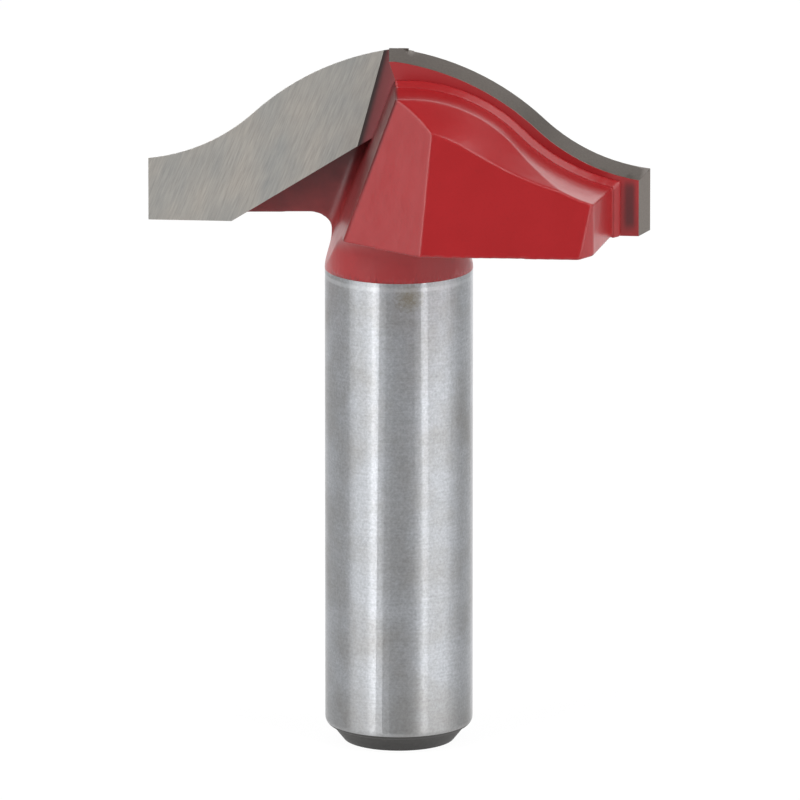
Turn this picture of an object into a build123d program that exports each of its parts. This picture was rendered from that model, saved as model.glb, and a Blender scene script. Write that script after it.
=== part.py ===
"""Two-flute plunge router bit with an ogee profile, built the way the tool is made.

A turned and milled steel body carries two brazed carbide cutters. The shank stands on
Z = 0 and the axis is +Z. The cutters lie in the XZ plane: cutter 1 reaches along +X
and cutter 2 is the same piece half a turn round the axis.
"""
from build123d import *
from math import asin, cos, degrees, radians, sin, sqrt, tan
import os

# ---- shank (half-inch collet) ----
shank_radius = 6.35
shank_end_radius = 4.75       # flat on which the bit stands
end_chamfer_radius = 5.75     # where the end chamfer meets its blend
end_chamfer_height = 1.25
end_blend_height = 2.0

# ---- cutting profile: a convex crown arc running into a concave shoulder arc ----
cutting_radius = 21.6
head_height = 15.5            # from the underside to the profile line carried to the axis
crown_arc = 22.6
shoulder_arc = 15.9
crown_slope = 7.4             # degrees, at the axis
steepest_slope = 43.0         # degrees, where the two arcs meet

# ---- carbide cutter ----
carbide_thickness = 2.5
carbide_relief = 0.65         # clearance of the back edge inside the cutting edge
carbide_end_relief = 0.85     # the same at the outer end
carbide_overlap = 0.86        # how far each cutter runs past the axis
carbide_foot_reach = 14.4     # inner end of the flat lower edge
carbide_root_reach = 1.6      # inner lower corner, bedded in the core
carbide_root_rise = 8.0       # its height above the lower edge
face_grind = 0.1              # depth of the ground cutting face
grind_edge_top = 1.3          # reach of the grinding limit at the profile
grind_edge_lean = 15.0        # degrees from the axis

# ---- brazed joint ----
braze_gap = 0.1
bead_leg = 0.65
bead_foot = 0.05

# ---- head, turned to the cutting profile and then milled lower behind each cutter ----
underside_height = 45.3       # at the rim
underside_dish = 1.75         # degrees, rising towards the neck
neck_fillet = 2.0             # where the shank runs out into the underside
turned_radius = 20.33         # rim of the turned head
turned_inset = 0.55           # turned surface inside the cutting profile
wing_drop = 2.85              # top of the wing below the profile line
wing_slope = 45.0             # degrees, steepest
crown_centre = 1.0            # top of the wing's crown
wing_turn = 10.5              # where the wing's crown runs into its shoulder
shoulder_centre = 22.1

# ---- faces behind each cutter, given at the underside ----
end_offset = 18.76            # distance of the wing's end from the axis
end_bearing = 82.0            # degrees
heel_offset = 13.4            # distance of the heel face from the axis
heel_bearing = 5.0            # degrees
flank_offset = 9.5            # distance of the flank face from the axis
flank_bearing = -33.0         # degrees
face_lean = 16.0              # degrees, heel and flank

# ---- gullet ----
gullet_offset = 5.14          # gullet wall from the axis, at the underside
gullet_lean = 20.4            # degrees from the axis
gullet_skew = 6.0             # degrees from square to the cutting plane
gullet_corner = 1.2
gullet_tail = 4.3             # how far the cut runs on below the underside

# ---- derived ----
neck_reach = shank_radius + neck_fillet
neck_top = underside_height + (turned_radius - neck_reach) * tan(radians(underside_dish))
profile_height = underside_height + head_height
wing_top = profile_height - wing_drop
carbide_root_height = underside_height + carbide_root_rise
crown_centre_reach = -crown_arc * sin(radians(crown_slope))
crown_centre_height = profile_height - crown_arc * cos(radians(crown_slope))
shoulder_centre_reach = crown_centre_reach + (crown_arc + shoulder_arc) * sin(radians(steepest_slope))
shoulder_centre_height = crown_centre_height + (crown_arc + shoulder_arc) * cos(radians(steepest_slope))
seat_depth = carbide_thickness + braze_gap
seat_reach = (end_offset - seat_depth * cos(radians(end_bearing))) / sin(radians(end_bearing))
clear = 2 * cutting_radius    # larger than anything on the head

os.makedirs("parts", exist_ok=True)


def blade_plane(side, depth=0.0):
    """Plane of one cutter's face, moved back towards its heel by depth."""
    return Plane(origin=(0, -side * depth, 0), x_dir=(side, 0, 0), z_dir=(0, -side, 0))


def profile_height_at(reach):
    """Height of the cutting profile's crown at a distance from the axis."""
    across = reach - crown_centre_reach
    return crown_centre_height + sqrt(crown_arc**2 - across**2)


def cutting_arcs(inset, start, reach):
    """Crown and shoulder of the cutting profile set in, from a slope angle out to a reach."""
    shoulder = shoulder_arc + inset
    end = degrees(asin((shoulder_centre_reach - reach) / shoulder))
    crown_line = CenterArc(
        (crown_centre_reach, crown_centre_height), crown_arc - inset, 90 - start, start - steepest_slope
    )
    shoulder_line = CenterArc(
        (shoulder_centre_reach, shoulder_centre_height), shoulder, 270 - steepest_slope, steepest_slope - end
    )
    return crown_line @ 0, shoulder_line @ 1


def cutter_outline(relief=0.0, end_relief=0.0):
    """Closed outline of a cutter, its cutting edges set in by the relief and its tip ground flat."""
    reach = cutting_radius - end_relief
    first, last = cutting_arcs(relief, crown_slope, reach)
    run = (carbide_root_reach + carbide_overlap) / (profile_height - carbide_root_height)
    tip_reach = carbide_root_reach - run * (first.Y - carbide_root_height)
    Polyline(
        last,
        (reach, underside_height),
        (carbide_foot_reach, underside_height),
        (carbide_root_reach, carbide_root_height),
        (tip_reach, first.Y),
        first,
    )


def turned_outline():
    """Closed half section of the turned head."""
    on_axis = degrees(asin(-crown_centre_reach / (crown_arc - turned_inset)))
    first, last = cutting_arcs(turned_inset, on_axis, turned_radius)
    Polyline(last, (turned_radius, underside_height), (neck_reach, neck_top), (0, neck_top), first)


def wing_outline(grow=0.0, reach=cutting_radius):
    """Closed section of a wing behind its cutter, grown all round its upper line."""
    crown = (wing_turn - crown_centre) / sin(radians(wing_slope)) + grow
    shoulder = (shoulder_centre - wing_turn) / sin(radians(wing_slope)) - grow
    centre_height = wing_top + grow - crown
    shoulder_height = centre_height + (crown + shoulder) * cos(radians(wing_slope))
    end = degrees(asin((shoulder_centre - reach) / shoulder))
    first = CenterArc((crown_centre, centre_height), crown, 90, -wing_slope)
    last = CenterArc((shoulder_centre, shoulder_height), shoulder, 270 - wing_slope, wing_slope - end)
    inner = -gullet_offset - shank_radius
    Polyline(
        last @ 1, (reach, underside_height), (inner, underside_height), (inner, wing_top + grow), first @ 0
    )


def standing_plane(offset, bearing, side, lean=0.0):
    """Plane that faces outwards at a bearing and may lean back towards the axis."""
    away = Vector(side * sin(radians(bearing)), -side * cos(radians(bearing)), 0)
    up = Vector(0, 0, 1)
    return Plane(
        origin=away * offset + up * underside_height,
        z_dir=away * cos(radians(lean)) + up * sin(radians(lean)),
    )


def gullet_cut(side):
    """The V-shaped chip gullet in front of the other cutter and behind this one."""
    wall = gullet_offset + gullet_tail * tan(radians(gullet_lean))
    skew = tan(radians(gullet_skew))
    floor = Plane(origin=(0, 0, underside_height - gullet_tail), x_dir=(side, 0, 0), z_dir=(0, 0, 1))
    with BuildSketch(floor) as section:
        with BuildLine():
            Polyline(
                (-wall - skew * seat_depth, seat_depth),
                (-clear, seat_depth),
                (-clear, -clear),
                (-wall + skew * clear, -clear),
                close=True,
            )
        make_face()
        fillet(section.vertices().sort_by(Axis((0, 0, 0), (side, side, 0)))[-1], gullet_corner)
    extrude(
        section.sketch,
        amount=clear,
        dir=(side * sin(radians(gullet_lean)), 0, cos(radians(gullet_lean))),
        mode=Mode.SUBTRACT,
    )


# ---- steel body: turned shank, neck and head, milled wings, gullets and seats ----
wings = []
for side in (1, -1):
    heel = standing_plane(heel_offset, heel_bearing, side, face_lean)
    flank = standing_plane(flank_offset, flank_bearing, side, face_lean)
    end = standing_plane(end_offset, end_bearing, side)
    with BuildPart() as wing:
        with BuildSketch(Plane.XZ):
            with BuildLine():
                turned_outline()
            make_face()
        revolve(axis=Axis.Z)
        with BuildSketch(blade_plane(side, seat_depth)):
            with BuildLine():
                wing_outline()
            make_face()
        extrude(amount=clear, mode=Mode.INTERSECT)
        for face in (heel, flank, end):
            split(bisect_by=face, keep=Keep.BOTTOM)
    wings.append(wing.part)

with BuildPart() as bit_body:
    with BuildSketch(Plane.XZ):
        with BuildLine():
            Polyline((0, neck_top), (0, 0), (shank_end_radius, 0), (end_chamfer_radius, end_chamfer_height))
            blend = TangentArc(
                (shank_radius, end_blend_height), (end_chamfer_radius, end_chamfer_height), tangent=(0, -1)
            )
            Line((shank_radius, end_blend_height), (shank_radius, neck_top - neck_fillet))
            flare = RadiusArc((shank_radius, neck_top - neck_fillet), (neck_reach, neck_top), neck_fillet)
            Line(flare @ 1, (0, neck_top))
        make_face()
    revolve(axis=Axis.Z)
    with BuildSketch(blade_plane(1, -seat_depth)):
        with BuildLine():
            Polyline(
                (-crown_centre, wing_top),
                (-end_offset / 2, neck_top),
                (end_offset / 2, neck_top),
                (crown_centre, wing_top),
                close=True,
            )
        make_face()
    extrude(amount=2 * seat_depth)
    add(wings)
    for side in (1, -1):
        gullet_cut(side)
        with BuildSketch(blade_plane(side)):
            with BuildLine():
                cutter_outline()
            make_face()
        extrude(amount=seat_depth, mode=Mode.SUBTRACT)
bit_body.part.label = "bit_body"
export_step(bit_body.part, "parts/bit_body.step")

for side, number in ((1, 1), (-1, 2)):
    # ---- carbide cutter: relieved along the profile, its face ground up to the gullet ----
    with BuildPart() as carbide_cutter:
        with BuildSketch(blade_plane(side)):
            with BuildLine():
                cutter_outline()
            make_face()
        with BuildSketch(blade_plane(side, carbide_thickness)):
            with BuildLine():
                cutter_outline(carbide_relief, carbide_end_relief)
            make_face()
        loft(ruled=True)
        with BuildSketch(blade_plane(side)):
            with BuildLine():
                lean = tan(radians(grind_edge_lean))
                top_height = profile_height_at(grind_edge_top)
                Polyline(
                    (grind_edge_top - lean * crown_arc, top_height + crown_arc),
                    (grind_edge_top + lean * crown_arc, top_height - crown_arc),
                    (clear, top_height - crown_arc),
                    (clear, top_height + crown_arc),
                    close=True,
                )
            make_face()
        extrude(amount=face_grind, mode=Mode.SUBTRACT)
    carbide_cutter.part.label = f"carbide_cutter_{number}"
    export_step(carbide_cutter.part, f"parts/carbide_cutter_{number}.step")

    # ---- braze: a thin layer behind the cutter with a bead along its back ----
    with BuildPart() as braze:
        bead_end = seat_depth + bead_leg
        for depth, grow in ((carbide_thickness, bead_leg), (bead_end, bead_foot)):
            with BuildSketch(blade_plane(side, depth)):
                with BuildLine():
                    wing_outline(grow, seat_reach + grow)
                make_face()
        loft(ruled=True)
        with BuildSketch(blade_plane(side, carbide_thickness)):
            with BuildLine():
                cutter_outline(carbide_relief, carbide_end_relief)
            make_face()
        extrude(amount=bead_end - carbide_thickness, mode=Mode.INTERSECT)
        add(bit_body.part, mode=Mode.SUBTRACT)
    braze.part.label = f"braze_{number}"
    export_step(braze.part, f"parts/braze_{number}.step")
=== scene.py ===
import bmesh
import bpy
import math
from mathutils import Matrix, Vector


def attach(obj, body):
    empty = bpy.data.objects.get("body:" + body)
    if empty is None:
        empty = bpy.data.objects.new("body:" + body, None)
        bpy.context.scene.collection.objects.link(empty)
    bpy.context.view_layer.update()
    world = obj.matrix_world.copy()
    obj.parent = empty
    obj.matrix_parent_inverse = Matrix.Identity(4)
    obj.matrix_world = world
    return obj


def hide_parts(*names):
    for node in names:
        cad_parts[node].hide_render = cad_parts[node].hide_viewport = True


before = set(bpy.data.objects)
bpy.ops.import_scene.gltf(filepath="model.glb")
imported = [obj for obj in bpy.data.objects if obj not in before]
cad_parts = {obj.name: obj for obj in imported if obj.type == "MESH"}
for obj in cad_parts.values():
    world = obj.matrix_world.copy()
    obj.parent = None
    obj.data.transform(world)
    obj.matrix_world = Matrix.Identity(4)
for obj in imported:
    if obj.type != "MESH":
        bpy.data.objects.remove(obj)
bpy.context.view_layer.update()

mm = 0.001

# ---- camera ----
# A long lens looks a little down on the bit, from slightly to the side of square to
# the cutting faces, so that one cutter shows its ground face and the other its back.
camera_azimuth = math.radians(5.0)
camera_elevation = math.radians(13.8)
camera_distance = 1.5
camera_field = 68.61 * mm
camera_aim = Vector((0.09 * mm, 0.0, 29.87 * mm))

camera_data = bpy.data.cameras.new("camera")
camera = bpy.data.objects.new("camera", camera_data)
bpy.context.scene.collection.objects.link(camera)
bpy.context.scene.camera = camera
towards_camera = Vector((
    math.sin(camera_azimuth) * math.cos(camera_elevation),
    -math.cos(camera_azimuth) * math.cos(camera_elevation),
    math.sin(camera_elevation),
))
camera.location = camera_aim + towards_camera * camera_distance
camera.rotation_euler = (-towards_camera).to_track_quat("-Z", "Y").to_euler()
camera_data.sensor_width = 36.0
camera_data.lens = camera_data.sensor_width * camera_distance / camera_field
camera_data.clip_start = 0.01
camera_data.clip_end = 20.0

# ---- studio ----
# A pale floor and a white backdrop in a dim surround. A tall soft box and a narrow strip
# light stand on either side of the camera, and weaker boxes light the sides and the back.
floor_radius = 4.0
floor_colour = "#cfcfcf"
floor_glow = 0.9               # how much of that white is the floor's own
floor_white = 1.06             # its strength, which makes floor and shading white together
surround_level = 0.06
box_distance = 0.6
box_height = 1.1
backdrop_side = (0.8, 0.94)    # it fades in as a direction turns back, by its sine
backdrop_top = (0.3, 0.6)      # and out as the direction rises, by its sine


def linear(colour):
    """An sRGB hex colour as linear RGBA."""
    parts = [int(colour[i:i + 2], 16) / 255 for i in (1, 3, 5)]
    return [c / 12.92 if c <= 0.04045 else ((c + 0.055) / 1.055) ** 2.4 for c in parts] + [1.0]


def add_node(tree, kind, inputs, **settings):
    """Adds a node; an input is a plain value, or the output that feeds it."""
    node = tree.nodes.new(kind)
    for name, value in settings.items():
        setattr(node, name, value)
    for name, value in inputs.items():
        if isinstance(value, bpy.types.NodeSocket):
            tree.links.new(value, node.inputs[name])
        else:
            node.inputs[name].default_value = value
    return node


def empty_tree(owner):
    """Turns nodes on for a material or world and clears them."""
    owner.use_nodes = True
    owner.node_tree.nodes.clear()
    return owner.node_tree


def seen_directly(tree):
    """One for camera, glossy and transmission rays, which see the background white."""
    path = add_node(tree, "ShaderNodeLightPath", {})
    either = add_node(tree, "ShaderNodeMath", {
        0: path.outputs["Is Camera Ray"], 1: path.outputs["Is Glossy Ray"],
    }, operation="MAXIMUM")
    any_of_three = add_node(tree, "ShaderNodeMath", {
        0: either.outputs[0], 1: path.outputs["Is Transmission Ray"],
    }, operation="MAXIMUM")
    return any_of_three.outputs[0]


surround = bpy.data.worlds.new("surround")
bpy.context.scene.world = surround
tree = empty_tree(surround)
coordinates = add_node(tree, "ShaderNodeTexCoord", {})
direction = add_node(tree, "ShaderNodeSeparateXYZ", {"Vector": coordinates.outputs["Generated"]})
back = add_node(tree, "ShaderNodeMapRange", {
    "Value": direction.outputs["Y"], "From Min": backdrop_side[0], "From Max": backdrop_side[1],
}, interpolation_type="SMOOTHSTEP")
low = add_node(tree, "ShaderNodeMapRange", {
    "Value": direction.outputs["Z"], "From Min": backdrop_top[1], "From Max": backdrop_top[0],
}, interpolation_type="SMOOTHSTEP")
backdrop = add_node(tree, "ShaderNodeMath", {
    0: back.outputs["Result"], 1: low.outputs["Result"],
}, operation="MULTIPLY")
shown = add_node(tree, "ShaderNodeMath", {
    0: backdrop.outputs[0], 1: seen_directly(tree),
}, operation="MULTIPLY")
level = add_node(tree, "ShaderNodeMix", {
    "Factor": shown.outputs[0], "A": surround_level, "B": 1.0,
})
sky = add_node(tree, "ShaderNodeBackground", {"Strength": level.outputs["Result"]})
sky.inputs["Color"].default_value = linear("#ffffff")
add_node(tree, "ShaderNodeOutputWorld", {"Surface": sky.outputs["Background"]})

bpy.ops.mesh.primitive_circle_add(vertices=96, radius=floor_radius, fill_type="NGON")
floor = bpy.context.object
floor.name = "floor"
white_floor = bpy.data.materials.new("white_floor")
tree = empty_tree(white_floor)
shaded = add_node(tree, "ShaderNodeBsdfDiffuse", {"Color": linear(floor_colour)})
glow = add_node(tree, "ShaderNodeEmission", {"Strength": floor_white})
white = add_node(tree, "ShaderNodeMixShader", {
    "Fac": floor_glow, 1: shaded.outputs[0], 2: glow.outputs[0],
})
mixed = add_node(tree, "ShaderNodeMixShader", {
    "Fac": seen_directly(tree), 1: shaded.outputs[0], 2: white.outputs[0],
})
add_node(tree, "ShaderNodeOutputMaterial", {"Surface": mixed.outputs[0]})
floor.data.materials.append(white_floor)


def soft_box(name, bearing, elevation, width, height, radiance):
    """A rectangular soft box that faces the middle of the bit."""
    light = bpy.data.lights.new(name, "AREA")
    light.shape = "RECTANGLE"
    light.size = width
    light.size_y = height
    light.energy = radiance * math.pi * width * height
    lamp = bpy.data.objects.new(name, light)
    lamp.visible_camera = False
    bpy.context.scene.collection.objects.link(lamp)
    bearing, elevation = math.radians(bearing), math.radians(elevation)
    away = Vector((
        math.sin(bearing) * math.cos(elevation),
        -math.cos(bearing) * math.cos(elevation),
        math.sin(elevation),
    ))
    lamp.location = camera_aim + away * box_distance
    lamp.rotation_euler = (-away).to_track_quat("-Z", "Y").to_euler()


soft_box("left_box", bearing=-57, elevation=25, width=0.42, height=box_height, radiance=1.75)
soft_box("left_strip", bearing=-35, elevation=25, width=0.055, height=box_height, radiance=9.60)
soft_box("left_side", bearing=-95, elevation=50, width=0.5, height=0.3, radiance=1.15)
soft_box("right_box", bearing=72, elevation=25, width=0.42, height=box_height, radiance=2.2)
soft_box("right_strip", bearing=45, elevation=25, width=0.045, height=box_height, radiance=10.0)
soft_box("right_top", bearing=95, elevation=50, width=0.5, height=0.3, radiance=0.39)
soft_box("right_side", bearing=100, elevation=5, width=0.12, height=0.7, radiance=1.0)
soft_box("back_top", bearing=180, elevation=45, width=0.7, height=0.4, radiance=0.50)
soft_box("back_box", bearing=180, elevation=15, width=0.6, height=0.4, radiance=0.90)

# ---- shank ----
# The round end that the collet grips: hardened steel, turned and then centreless ground,
# bare below the paint. Its chamfered foot was not ground, and keeps the dark scale that
# hardening leaves.
paint_line = 41.6 * mm
scale_line = 1.6 * mm
edge_break = 0.05 * mm
grind_pitch = 0.12 * mm        # real marks are finer; drawn as coarse as they need to show
grind_length = 2.5 * mm
speckle_size = 0.22 * mm
stain_size = 5.0 * mm
light_ring_from = (40.75 * mm, 40.95 * mm)
light_ring_to = (41.1 * mm, 41.3 * mm)
dull_height = 7.0 * mm
spot_place = (1.4 * mm, -6.2 * mm, 40.3 * mm)
spot_reach = (1.0 * mm, 2.2 * mm)
spot_fringe = 1.6 * mm
flake_size = 0.5 * mm


def merged_copy(node):
    """A bmesh of a CAD node's mesh with its corners merged and its flat faces made whole."""
    mesh = bmesh.new()
    mesh.from_mesh(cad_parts[node].data)
    bmesh.ops.remove_doubles(mesh, verts=mesh.verts, dist=0.001 * mm)
    bmesh.ops.dissolve_limit(
        mesh, angle_limit=math.radians(0.2), verts=mesh.verts, edges=mesh.edges,
    )
    return mesh


def keep_part(mesh, height, above):
    """Keeps what is above or below a height, and closes the cut."""
    cut = bmesh.ops.bisect_plane(
        mesh, geom=mesh.verts[:] + mesh.edges[:] + mesh.faces[:],
        plane_co=(0, 0, height), plane_no=(0, 0, 1), clear_inner=above, clear_outer=not above,
    )
    rim = [e for e in cut["geom_cut"] if isinstance(e, bmesh.types.BMEdge)]
    bmesh.ops.edgenet_fill(mesh, edges=rim)
    bmesh.ops.recalc_face_normals(mesh, faces=mesh.faces)


def rough_piece(mesh, name, finishes):
    """An object from a mesh, still to be finished by modifiers."""
    data = bpy.data.meshes.new(name)
    mesh.to_mesh(data)
    mesh.free()
    data.shade_smooth()
    for finish in finishes:
        data.materials.append(finish)
    rough = bpy.data.objects.new(name + "_rough", data)
    bpy.context.scene.collection.objects.link(rough)
    return rough


def finished_mesh(rough):
    """The plain mesh that an object's modifiers give; the object goes."""
    evaluated = rough.evaluated_get(bpy.context.evaluated_depsgraph_get())
    data = bpy.data.meshes.new_from_object(evaluated)
    bpy.data.objects.remove(rough)
    return data


def stand_for(data, name, node):
    """Places a finished mesh as the piece that is seen for a CAD node."""
    data.name = name
    piece = bpy.data.objects.new(name, data)
    bpy.context.scene.collection.objects.link(piece)
    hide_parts(node)
    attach(piece, "root")


def machined_mesh(mesh, name, finishes, edge_radius):
    """Breaks a machined part's edges by a hair, and keeps its faces flat."""
    rough = rough_piece(mesh, name, finishes)
    rounding = rough.modifiers.new("rounding", "BEVEL")
    rounding.width = edge_radius
    rounding.segments = 2
    rounding.limit_method = "ANGLE"
    rounding.angle_limit = math.radians(14)
    rounding.use_clamp_overlap = True
    even = rough.modifiers.new("even", "WEIGHTED_NORMAL")
    even.weight = 100
    return finished_mesh(rough)


# Ground tool steel: a cool grey that the wheel's fine rings stretch into upright bands,
# with a fine speckle and faint handling stains. Just below the paint is a lighter, patchy
# ring, with a spot of rust under it. The foot is duller.
ground_steel = bpy.data.materials.new("ground_tool_steel")
tree = empty_tree(ground_steel)
coordinates = add_node(tree, "ShaderNodeTexCoord", {})
rings = add_node(tree, "ShaderNodeMapping", {
    "Vector": coordinates.outputs["Object"],
    "Scale": (1 / grind_length, 1 / grind_length, 1 / grind_pitch),
})
ring_noise = add_node(tree, "ShaderNodeTexNoise", {
    "Vector": rings.outputs["Vector"], "Scale": 1.0, "Detail": 4.0, "Roughness": 0.6,
})
stains = add_node(tree, "ShaderNodeTexNoise", {
    "Vector": coordinates.outputs["Object"], "Scale": 1 / stain_size,
    "Detail": 5.0, "Roughness": 0.62,
})
stain_tone = add_node(tree, "ShaderNodeMapRange", {
    "Value": stains.outputs["Fac"], "From Min": 0.42, "From Max": 0.72, "To Max": 0.35,
})
ring_tone = add_node(tree, "ShaderNodeMapRange", {
    "Value": ring_noise.outputs["Fac"], "From Min": 0.3, "From Max": 0.7,
})
speckle = add_node(tree, "ShaderNodeTexNoise", {
    "Vector": coordinates.outputs["Object"], "Scale": 1 / speckle_size,
    "Detail": 2.0, "Roughness": 0.7,
})
speckle_tone = add_node(tree, "ShaderNodeMapRange", {
    "Value": speckle.outputs["Fac"], "From Min": 0.3, "From Max": 0.7,
})
along = add_node(tree, "ShaderNodeSeparateXYZ", {"Vector": coordinates.outputs["Object"]})
# A lighter, patchy ring just below the paint.
light_ring_below = add_node(tree, "ShaderNodeMapRange", {
    "Value": along.outputs["Z"], "From Min": light_ring_from[0], "From Max": light_ring_from[1],
}, interpolation_type="SMOOTHSTEP")
light_ring_above = add_node(tree, "ShaderNodeMapRange", {
    "Value": along.outputs["Z"], "From Min": light_ring_to[1], "From Max": light_ring_to[0], "To Max": 0.8,
}, interpolation_type="SMOOTHSTEP")
light_ring_round = add_node(tree, "ShaderNodeMath", {
    0: light_ring_below.outputs["Result"], 1: light_ring_above.outputs["Result"],
}, operation="MULTIPLY")
patches = add_node(tree, "ShaderNodeMapRange", {
    "Value": stains.outputs["Fac"], "From Min": 0.35, "From Max": 0.65,
})
light_ring = add_node(tree, "ShaderNodeMath", {
    0: light_ring_round.outputs[0], 1: patches.outputs["Result"],
}, operation="MULTIPLY")
dull_foot = add_node(tree, "ShaderNodeMapRange", {
    "Value": along.outputs["Z"], "From Min": dull_height, "From Max": 0.0, "To Max": 0.45,
})
tone = add_node(tree, "ShaderNodeMix", {
    "Factor": 0.3, "A": speckle_tone.outputs["Result"], "B": ring_tone.outputs["Result"],
})
clean = add_node(tree, "ShaderNodeMix", {
    0: tone.outputs["Result"], 6: linear("#a0a2a6"), 7: linear("#c4c7cb"),
}, data_type="RGBA")
stained = add_node(tree, "ShaderNodeMix", {
    0: stain_tone.outputs["Result"], 6: clean.outputs[2], 7: linear("#8d8476"),
}, data_type="RGBA")
footed = add_node(tree, "ShaderNodeMix", {
    0: dull_foot.outputs["Result"], 6: stained.outputs[2], 7: linear("#87837d"),
}, data_type="RGBA")
from_spot = add_node(tree, "ShaderNodeVectorMath", {
    0: coordinates.outputs["Object"], 1: spot_place,
}, operation="DISTANCE")
uneven = add_node(tree, "ShaderNodeMath", {
    0: speckle.outputs["Fac"], 1: spot_fringe, 2: from_spot.outputs["Value"],
}, operation="MULTIPLY_ADD")
spot = add_node(tree, "ShaderNodeMapRange", {
    "Value": uneven.outputs[0], "From Min": spot_reach[1], "From Max": spot_reach[0],
    "To Max": 0.6,
})
spotted = add_node(tree, "ShaderNodeMix", {
    0: spot.outputs["Result"], 6: footed.outputs[2], 7: linear("#8f8568"),
}, data_type="RGBA")
surface = add_node(tree, "ShaderNodeMix", {
    0: light_ring.outputs[0], 6: spotted.outputs[2], 7: linear("#d6d9db"),
}, data_type="RGBA")
dulled = add_node(tree, "ShaderNodeMapRange", {
    "Value": stains.outputs["Fac"], "From Min": 0.3, "From Max": 0.7,
    "To Min": 0.38, "To Max": 0.44,
})
scratches = add_node(tree, "ShaderNodeBump", {
    "Height": ring_noise.outputs["Fac"], "Strength": 0.05, "Distance": 0.002 * mm,
})
steel = add_node(tree, "ShaderNodeBsdfPrincipled", {
    "Base Color": surface.outputs[2], "Metallic": 1.0, "Roughness": dulled.outputs["Result"],
    "Anisotropic": 0.93, "Anisotropic Rotation": 0.25, "Normal": scratches.outputs["Normal"],
})
add_node(tree, "ShaderNodeOutputMaterial", {"Surface": steel.outputs["BSDF"]})

# Hardening scale: a thin matt oxide, nearly black with a little warmth.
hardening_scale = bpy.data.materials.new("hardening_scale")
tree = empty_tree(hardening_scale)
coordinates = add_node(tree, "ShaderNodeTexCoord", {})
flakes = add_node(tree, "ShaderNodeTexNoise", {
    "Vector": coordinates.outputs["Object"], "Scale": 1 / flake_size, "Detail": 4.0,
})
scale_tone = add_node(tree, "ShaderNodeMix", {
    0: flakes.outputs["Fac"], 6: linear("#353433"), 7: linear("#4a4846"),
}, data_type="RGBA")
oxide = add_node(tree, "ShaderNodeBsdfPrincipled", {
    "Base Color": scale_tone.outputs[2], "Roughness": 0.6, "Specular IOR Level": 0.4,
})
add_node(tree, "ShaderNodeOutputMaterial", {"Surface": oxide.outputs["BSDF"]})

shank_mesh = merged_copy("bit_body")
keep_part(shank_mesh, paint_line, above=False)
bmesh.ops.bisect_plane(
    shank_mesh, geom=shank_mesh.verts[:] + shank_mesh.edges[:] + shank_mesh.faces[:],
    plane_co=(0, 0, scale_line), plane_no=(0, 0, 1),
)
for face in shank_mesh.faces:
    face.material_index = 1 if face.calc_center_median().z < scale_line else 0
shank_data = machined_mesh(shank_mesh, "shank", (ground_steel, hardening_scale), edge_break)
stand_for(shank_data, "shank", "bit_body")

# ---- head ----
# The winged steel head and the neck under it, milled from the same bar as the shank and
# dipped in gloss enamel, which rounds every edge and ends in a thin step round the neck.
paint_thickness = 0.04 * mm
paint_grain = 0.10 * mm        # size of the faces that the rounding is made of
paint_rounds = 18              # each evens the film over about half a face
orange_peel = 3.0 * mm
cloud_size = 3.0 * mm
speck_size = 0.22 * mm
gullet_shade_blotch_size = 1.2 * mm
# Heights over which the painted gullet shade deepens, up to under the cutters.
gullet_shade_heights = (45.3 * mm, 52.0 * mm)

# Gloss enamel: a deep red under a clear, slightly rippled skin. In the gullets, where the
# attribute says so, it is a little rougher and carries painted shade, darker towards the top.
red_enamel = bpy.data.materials.new("red_gloss_enamel")
tree = empty_tree(red_enamel)
coordinates = add_node(tree, "ShaderNodeTexCoord", {})
cloud = add_node(tree, "ShaderNodeTexNoise", {
    "Vector": coordinates.outputs["Object"], "Scale": 1 / cloud_size, "Detail": 3.0,
})
specks = add_node(tree, "ShaderNodeTexNoise", {
    "Vector": coordinates.outputs["Object"], "Scale": 1 / speck_size, "Detail": 2.0,
})
clouded = add_node(tree, "ShaderNodeMix", {
    0: cloud.outputs["Fac"], 6: linear("#981d20"), 7: linear("#a42327"),
}, data_type="RGBA")
speck_tone = add_node(tree, "ShaderNodeMapRange", {
    "Value": specks.outputs["Fac"], "From Min": 0.55, "From Max": 0.75, "To Max": 0.35,
})
paint = add_node(tree, "ShaderNodeMix", {
    0: speck_tone.outputs["Result"], 6: clouded.outputs[2], 7: linear("#8c2023"),
}, data_type="RGBA")
ripple = add_node(tree, "ShaderNodeTexNoise", {
    "Vector": coordinates.outputs["Object"], "Scale": 1 / orange_peel, "Detail": 2.5,
})
skin = add_node(tree, "ShaderNodeBump", {
    "Height": ripple.outputs["Fac"], "Strength": 0.9, "Distance": 0.12 * mm,
})
# Painted shade in the gullets, blotchy and darker towards the top under each cutter.
gullet_shade_blotches = add_node(tree, "ShaderNodeTexNoise", {
    "Vector": coordinates.outputs["Object"], "Scale": 1 / gullet_shade_blotch_size, "Detail": 3.0,
})
heights = add_node(tree, "ShaderNodeSeparateXYZ", {"Vector": coordinates.outputs["Object"]})
up_gullet = add_node(tree, "ShaderNodeMapRange", {
    "Value": heights.outputs["Z"], "From Min": gullet_shade_heights[0], "From Max": gullet_shade_heights[1],
})
gullet_shade_depth = add_node(tree, "ShaderNodeMath", {
    0: up_gullet.outputs["Result"], 1: gullet_shade_blotches.outputs["Fac"],
}, operation="ADD")
gullet_shade_share = add_node(tree, "ShaderNodeMapRange", {
    "Value": gullet_shade_depth.outputs[0], "From Min": 0.4, "From Max": 1.6,
})
painted_gullet_shade = add_node(tree, "ShaderNodeMix", {
    0: gullet_shade_share.outputs["Result"], 6: linear("#8b2a2c"), 7: linear("#5c1b1e"),
}, data_type="RGBA")
in_gullet = add_node(tree, "ShaderNodeAttribute", {}, attribute_name="gullet")
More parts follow.
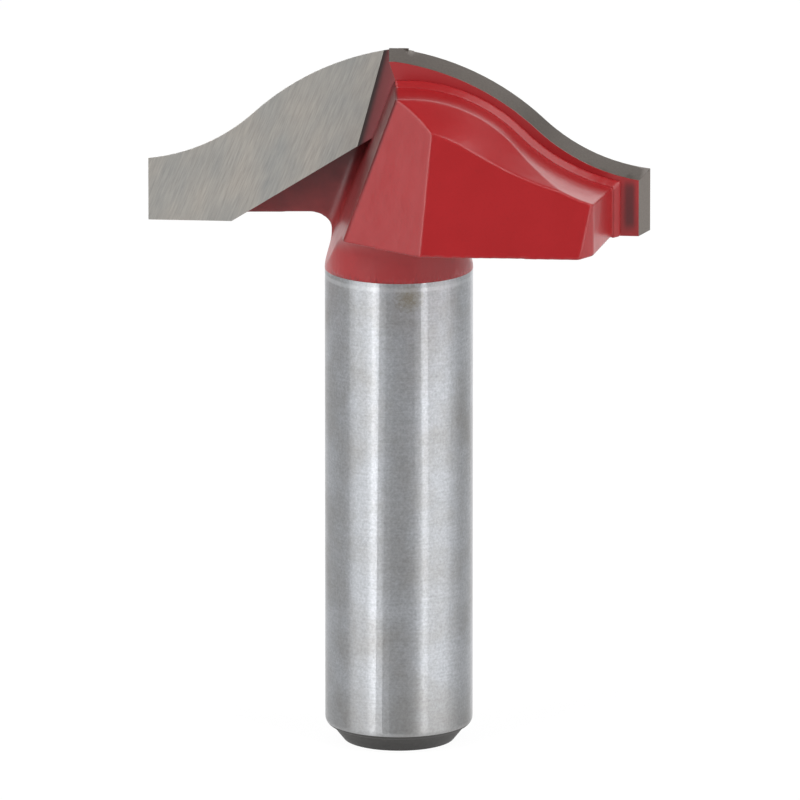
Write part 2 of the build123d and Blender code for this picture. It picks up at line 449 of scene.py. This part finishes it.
coat = add_node(tree, "ShaderNodeMix", {
    0: in_gullet.outputs["Fac"], 6: paint.outputs[2], 7: painted_gullet_shade.outputs[2],
}, data_type="RGBA")
dullness = add_node(tree, "ShaderNodeMapRange", {
    "Value": in_gullet.outputs["Fac"], "To Min": 0.3, "To Max": 0.36,
})
gloss = add_node(tree, "ShaderNodeBsdfPrincipled", {
    "Base Color": coat.outputs[2], "Roughness": dullness.outputs["Result"], "IOR": 1.5,
    "Normal": skin.outputs["Normal"],
})
add_node(tree, "ShaderNodeOutputMaterial", {"Surface": gloss.outputs["BSDF"]})


def dipped_mesh(mesh, name, finishes, grain, rounds, kept, film=0.0):
    """Covers a part in an even skin of small faces and lets it flow, as a dip coat does.

    The film is what the skin is thickened by, and kept is the share of its faces that stay.
    """
    rough = rough_piece(mesh, name, finishes)
    skin = rough.modifiers.new("skin", "REMESH")
    skin.mode = "VOXEL"
    skin.voxel_size = grain
    skin.use_smooth_shade = True
    if film:
        thicker = rough.modifiers.new("thicker", "DISPLACE")
        thicker.strength = film
        thicker.mid_level = 0.0
    flow = rough.modifiers.new("flow", "SMOOTH")
    flow.factor = 0.5
    flow.iterations = rounds
    fewer = rough.modifiers.new("fewer", "DECIMATE")
    fewer.ratio = kept
    return finished_mesh(rough)


head_mesh = merged_copy("bit_body")
neck_cut = paint_line - 1.0 * mm
keep_part(head_mesh, neck_cut, above=True)

# The film runs on over the beads of braze, and stands out a little round the neck.
for bead in ("braze_1", "braze_2"):
    head_mesh.from_mesh(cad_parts[bead].data)
bmesh.ops.remove_doubles(head_mesh, verts=head_mesh.verts, dist=0.001 * mm)
for vert in head_mesh.verts:
    if vert.co.z < neck_cut + paint_thickness:
        vert.co.xy *= 1 + paint_thickness / vert.co.xy.length
head_data = dipped_mesh(head_mesh, "head", (red_enamel,), paint_grain, paint_rounds, kept=0.37)

# The neck's rim is cut again, clean.
head_mesh = bmesh.new()
head_mesh.from_mesh(head_data)
keep_part(head_mesh, paint_line, above=True)
for face in head_mesh.faces:
    face.smooth = True
head_mesh.to_mesh(head_data)
head_mesh.free()

# Each gullet has an upright wall below its cutter, a wall that leans and turns away from
# it, and a round between them. The attribute that places the painted gullet shade fades
# out past their edges.
seat_face = 2.6 * mm
gullet_reach = 5.14 * mm
gullet_slope = math.tan(math.radians(20.4))
gullet_turn = math.tan(math.radians(6.0))
gullet_round = 1.3 * mm
underside = 45.3 * mm
gullet_foot = (43.7 * mm, 44.5 * mm)
edge_fade = (0.1 * mm, 0.3 * mm)


def share(value, none, full):
    """How far a value has come from one end to the other, from 0 to 1."""
    return min(max((value - none) / (full - none), 0.0), 1.0)


in_gullets = []
for vert in head_data.vertices:
    most = 0.0
    for side in (1, -1):
        along, across = side * vert.co.x, side * vert.co.y
        lean = (vert.co.z - underside) * gullet_slope
        beside = along + gullet_reach - lean + across * gullet_turn
        behind = seat_face - across
        if along < -gullet_reach / 2:
            most = max(most, share(abs(behind), edge_fade[1], edge_fade[0]))
        if behind > -edge_fade[0]:
            most = max(most, share(abs(beside), edge_fade[1], edge_fade[0]))
        if 0 < -beside < gullet_round and 0 < behind < gullet_round:
            most = 1.0
    in_gullets.append(most * share(vert.co.z, *gullet_foot))
gullet = head_data.attributes.new("gullet", "FLOAT", "POINT")
gullet.data.foreach_set("value", in_gullets)
stand_for(head_data, "head", "bit_body")

# ---- cutters ----
# Two plates of sintered tungsten carbide, brazed to the wings. The wheel has ground their
# faces and the relief behind the edges bright. The backs, the feet and the strip deep in
# each gullet, which the wheel can't reach, keep the enamel.
face_depth = 0.1 * mm
cutter_edge_break = 0.04 * mm
streak_pitch = 0.14 * mm
streak_length = 2.2 * mm
streak_depth = 5.0 * mm
streak_lean = math.radians(22)
patch_width = 3.0 * mm
patch_length = 7.0 * mm
patch_depth = 10.0 * mm
grind_edge_reach = 1.3 * mm
grind_edge_height = 60.59 * mm
grind_edge_lean = math.radians(15)
strip_width = 1.6 * mm
relief_grain = 0.18 * mm
# Where the band of painted shadow lies on each cutter's back, beside the end of the bead.
shadow_band_from = (19.2 * mm, 19.8 * mm)
shadow_band_to = (20.15 * mm, 20.65 * mm)
shadow_band_foot = (45.4 * mm, 46.6 * mm)
shadow_band_top = (49.4 * mm, 50.6 * mm)

# Relief-ground carbide: a dull grey from a finer wheel run along the edge.
relief_carbide = bpy.data.materials.new("relief_ground_carbide")
tree = empty_tree(relief_carbide)
coordinates = add_node(tree, "ShaderNodeTexCoord", {})
grain = add_node(tree, "ShaderNodeTexNoise", {
    "Vector": coordinates.outputs["Object"], "Scale": 1 / relief_grain, "Detail": 4.0,
})
grain_tone = add_node(tree, "ShaderNodeMix", {
    0: grain.outputs["Fac"], 6: linear("#6c655f"), 7: linear("#888079"),
}, data_type="RGBA")
relief = add_node(tree, "ShaderNodeBsdfPrincipled", {
    "Base Color": grain_tone.outputs[2], "Metallic": 1.0, "Roughness": 0.45,
})
add_node(tree, "ShaderNodeOutputMaterial", {"Surface": relief.outputs["BSDF"]})

# Strip enamel: the gullet's film over rough carbide, in painted shade: a nearly black
# painted shadow line beside the ground edge, lightening to a pinkish painted reflection of
# the wall.
strip_enamel = bpy.data.materials.new("strip_enamel")
tree = empty_tree(strip_enamel)
coordinates = add_node(tree, "ShaderNodeTexCoord", {})
either_side = add_node(tree, "ShaderNodeVectorMath", {
    0: coordinates.outputs["Object"],
}, operation="ABSOLUTE")
inwards = (-math.cos(grind_edge_lean), 0.0, -math.sin(grind_edge_lean))
from_axis = add_node(tree, "ShaderNodeVectorMath", {
    0: either_side.outputs["Vector"], 1: inwards,
}, operation="DOT_PRODUCT")
at_edge = grind_edge_reach * inwards[0] + grind_edge_height * inwards[2]
across_strip = add_node(tree, "ShaderNodeMapRange", {
    "Value": from_axis.outputs["Value"], "From Min": at_edge, "From Max": at_edge + strip_width,
})
# A nearly black painted shadow line beside the ground edge.
clear_of_painted_shadow_line = add_node(tree, "ShaderNodeMapRange", {
    "Value": across_strip.outputs["Result"], "From Min": 0.05, "From Max": 0.4,
}, interpolation_type="SMOOTHSTEP")
# Painted shade across the strip, lightening to a pinkish painted reflection of the wall.
strip_shade_and_reflection = add_node(tree, "ShaderNodeMix", {
    0: across_strip.outputs["Result"], 6: linear("#6e3537"), 7: linear("#9a4b4e"),
}, data_type="RGBA")
painted_strip_shade = add_node(tree, "ShaderNodeMix", {
    0: clear_of_painted_shadow_line.outputs["Result"], 6: linear("#2c1b1a"), 7: strip_shade_and_reflection.outputs[2],
}, data_type="RGBA")
film = add_node(tree, "ShaderNodeBsdfPrincipled", {
    "Base Color": painted_strip_shade.outputs[2], "Roughness": 0.4, "IOR": 1.5,
})
add_node(tree, "ShaderNodeOutputMaterial", {"Surface": film.outputs["BSDF"]})

# Back enamel: the head's red, with a band of painted shadow in the corner beside the end
# of the bead.
back_enamel = bpy.data.materials.new("back_enamel")
tree = empty_tree(back_enamel)
coordinates = add_node(tree, "ShaderNodeTexCoord", {})
either_side = add_node(tree, "ShaderNodeVectorMath", {
    0: coordinates.outputs["Object"],
}, operation="ABSOLUTE")
reach = add_node(tree, "ShaderNodeSeparateXYZ", {"Vector": either_side.outputs["Vector"]})
comes_in = add_node(tree, "ShaderNodeMapRange", {
    "Value": reach.outputs["X"], "From Min": shadow_band_from[0], "From Max": shadow_band_from[1],
}, interpolation_type="SMOOTHSTEP")
goes_out = add_node(tree, "ShaderNodeMapRange", {
    "Value": reach.outputs["X"], "From Min": shadow_band_to[1], "From Max": shadow_band_to[0],
}, interpolation_type="SMOOTHSTEP")
above_foot = add_node(tree, "ShaderNodeMapRange", {
    "Value": reach.outputs["Z"], "From Min": shadow_band_foot[0], "From Max": shadow_band_foot[1],
}, interpolation_type="SMOOTHSTEP")
below_top = add_node(tree, "ShaderNodeMapRange", {
    "Value": reach.outputs["Z"], "From Min": shadow_band_top[1], "From Max": shadow_band_top[0],
}, interpolation_type="SMOOTHSTEP")
band_width = add_node(tree, "ShaderNodeMath", {
    0: comes_in.outputs["Result"], 1: goes_out.outputs["Result"],
}, operation="MULTIPLY")
band_height = add_node(tree, "ShaderNodeMath", {
    0: above_foot.outputs["Result"], 1: below_top.outputs["Result"],
}, operation="MULTIPLY")
# The painted shadow band.
painted_shadow_band = add_node(tree, "ShaderNodeMath", {
    0: band_width.outputs[0], 1: band_height.outputs[0],
}, operation="MULTIPLY")
red_with_painted_shadow = add_node(tree, "ShaderNodeMix", {
    0: painted_shadow_band.outputs[0], 6: linear("#9a1f23"), 7: linear("#5a1116"),
}, data_type="RGBA")
gloss = add_node(tree, "ShaderNodeBsdfPrincipled", {
    "Base Color": red_with_painted_shadow.outputs[2], "Roughness": 0.3, "IOR": 1.5,
})
add_node(tree, "ShaderNodeOutputMaterial", {"Surface": gloss.outputs["BSDF"]})

for number, side in ((1, 1), (2, -1)):
    # Face-ground carbide: a warm grey with fine steep wheel marks.
    face_carbide = bpy.data.materials.new(f"face_ground_carbide_{number}")
    tree = empty_tree(face_carbide)
    coordinates = add_node(tree, "ShaderNodeTexCoord", {})
    leant = add_node(tree, "ShaderNodeMapping", {
        "Vector": coordinates.outputs["Object"], "Rotation": (0.0, side * streak_lean, 0.0),
    })
    stretched = add_node(tree, "ShaderNodeMapping", {
        "Vector": leant.outputs["Vector"],
        "Scale": (1 / streak_pitch, 1 / streak_depth, 1 / streak_length),
    })
    streaks = add_node(tree, "ShaderNodeTexNoise", {
        "Vector": stretched.outputs["Vector"], "Scale": 1.0, "Detail": 6.0, "Roughness": 0.65,
    })
    broad = add_node(tree, "ShaderNodeMapping", {
        "Vector": leant.outputs["Vector"],
        "Scale": (1 / patch_width, 1 / patch_depth, 1 / patch_length),
    })
    bands = add_node(tree, "ShaderNodeTexNoise", {
        "Vector": broad.outputs["Vector"], "Scale": 1.0, "Detail": 4.0,
    })
    streak_tone = add_node(tree, "ShaderNodeMapRange", {
        "Value": streaks.outputs["Fac"], "From Min": 0.3, "From Max": 0.7,
    })
    band_tone = add_node(tree, "ShaderNodeMapRange", {
        "Value": bands.outputs["Fac"], "From Min": 0.3, "From Max": 0.7,
    })
    fine = add_node(tree, "ShaderNodeMix", {
        0: streak_tone.outputs["Result"], 6: linear("#9b9690"), 7: linear("#bab4ac"),
    }, data_type="RGBA")
    cool = add_node(tree, "ShaderNodeMix", {
        0: streak_tone.outputs["Result"], 6: linear("#909190"), 7: linear("#a8a7a3"),
    }, data_type="RGBA")
    ground = add_node(tree, "ShaderNodeMix", {
        0: band_tone.outputs["Result"], 6: fine.outputs[2], 7: cool.outputs[2],
    }, data_type="RGBA")
    marks = add_node(tree, "ShaderNodeBump", {
        "Height": streaks.outputs["Fac"], "Strength": 0.3, "Distance": 0.004 * mm,
    })
    carbide = add_node(tree, "ShaderNodeBsdfPrincipled", {
        "Base Color": ground.outputs[2], "Metallic": 1.0, "Roughness": 0.36,
        "Normal": marks.outputs["Normal"],
    })
    add_node(tree, "ShaderNodeOutputMaterial", {"Surface": carbide.outputs["BSDF"]})

    cutter_mesh = merged_copy(f"carbide_cutter_{number}")
    unground = []
    for face in cutter_mesh.faces:
        if abs(face.normal.y) > 0.99 and abs(face.calc_center_median().y) < 0.5 * face_depth:
            unground.append(face)
    edges = dict.fromkeys(edge for face in unground for edge in face.edges)
    corners = dict.fromkeys(vert for face in unground for vert in face.verts)
    bmesh.ops.bisect_plane(
        cutter_mesh, geom=[*unground, *edges, *corners],
        plane_co=(0, 0, 0), plane_no=(1, 0, 0),
    )
    for face in cutter_mesh.faces:
        middle = face.calc_center_median()
        if abs(face.normal.y) > 0.99 and abs(middle.y) < 0.5 * face_depth:
            face.material_index = 2 if middle.x * side > 0 else 1
        elif abs(face.normal.y) > 0.99 and abs(middle.y) < 1.5 * face_depth:
            face.material_index = 0
        elif face.normal.z > 0.3 or abs(face.normal.x) > 0.9:
            face.material_index = 1
        else:
            face.material_index = 3
    finishes = (face_carbide, relief_carbide, strip_enamel, back_enamel)
    cutter_data = machined_mesh(cutter_mesh, f"cutter_{number}", finishes, cutter_edge_break)
    stand_for(cutter_data, f"cutter_{number}", f"carbide_cutter_{number}")

# ---- braze ----
# A bead of silver solder along the back of each cutter, drawn out thin on to the steel
# and under the same enamel.
bead_grain = 0.08 * mm
bead_rounds = 10
bead_film = 0.07 * mm

for number in (1, 2):
    bead_mesh = merged_copy(f"braze_{number}")
    bead_data = dipped_mesh(bead_mesh, f"bead_{number}", (red_enamel,),
                            bead_grain, bead_rounds, kept=0.5, film=bead_film)
    stand_for(bead_data, f"bead_{number}", f"braze_{number}")

# ---- view ----
bpy.context.scene.view_settings.view_transform = "Standard"
